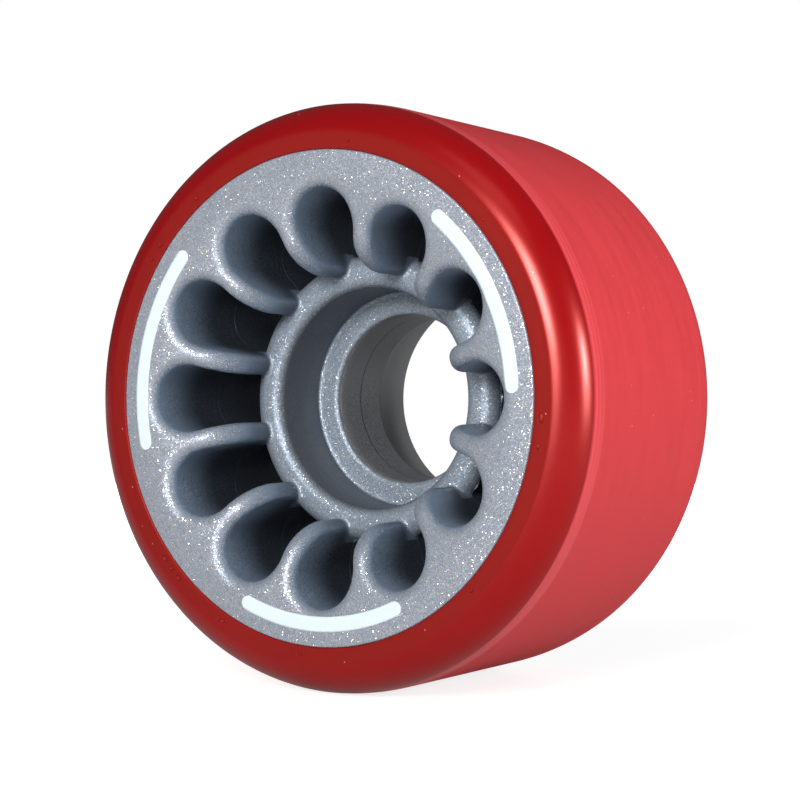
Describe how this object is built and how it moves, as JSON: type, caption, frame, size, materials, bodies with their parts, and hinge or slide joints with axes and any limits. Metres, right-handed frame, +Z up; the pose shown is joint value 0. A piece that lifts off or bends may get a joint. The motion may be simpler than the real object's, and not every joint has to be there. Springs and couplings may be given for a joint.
{
  "type": "roller skate wheel",
  "caption": "Quad roller skate wheel: a red urethane tyre on a grey spoked hub whose deep-set core has a press seat for a ball bearing at each end.",
  "frame": {"origin": "middle of the wheel's box, on its axle line", "axes": "Y along the axle line with the printed front face towards -Y, +Z up with the wheel standing on its tread"},
  "size_m": [0.057, 0.033, 0.057],
  "materials": {
    "hub": "grey moulded plastic with fine metal flake, satin",
    "tyre": "red cast urethane, glossy on the moulded lips and matte on the turned tread",
    "ink": "white pad-printed ink"
  },
  "bodies": {
    "root": {"hub": "hub", "tyre": "tyre", "printed_bars": "ink"}
  },
  "joints": []
}
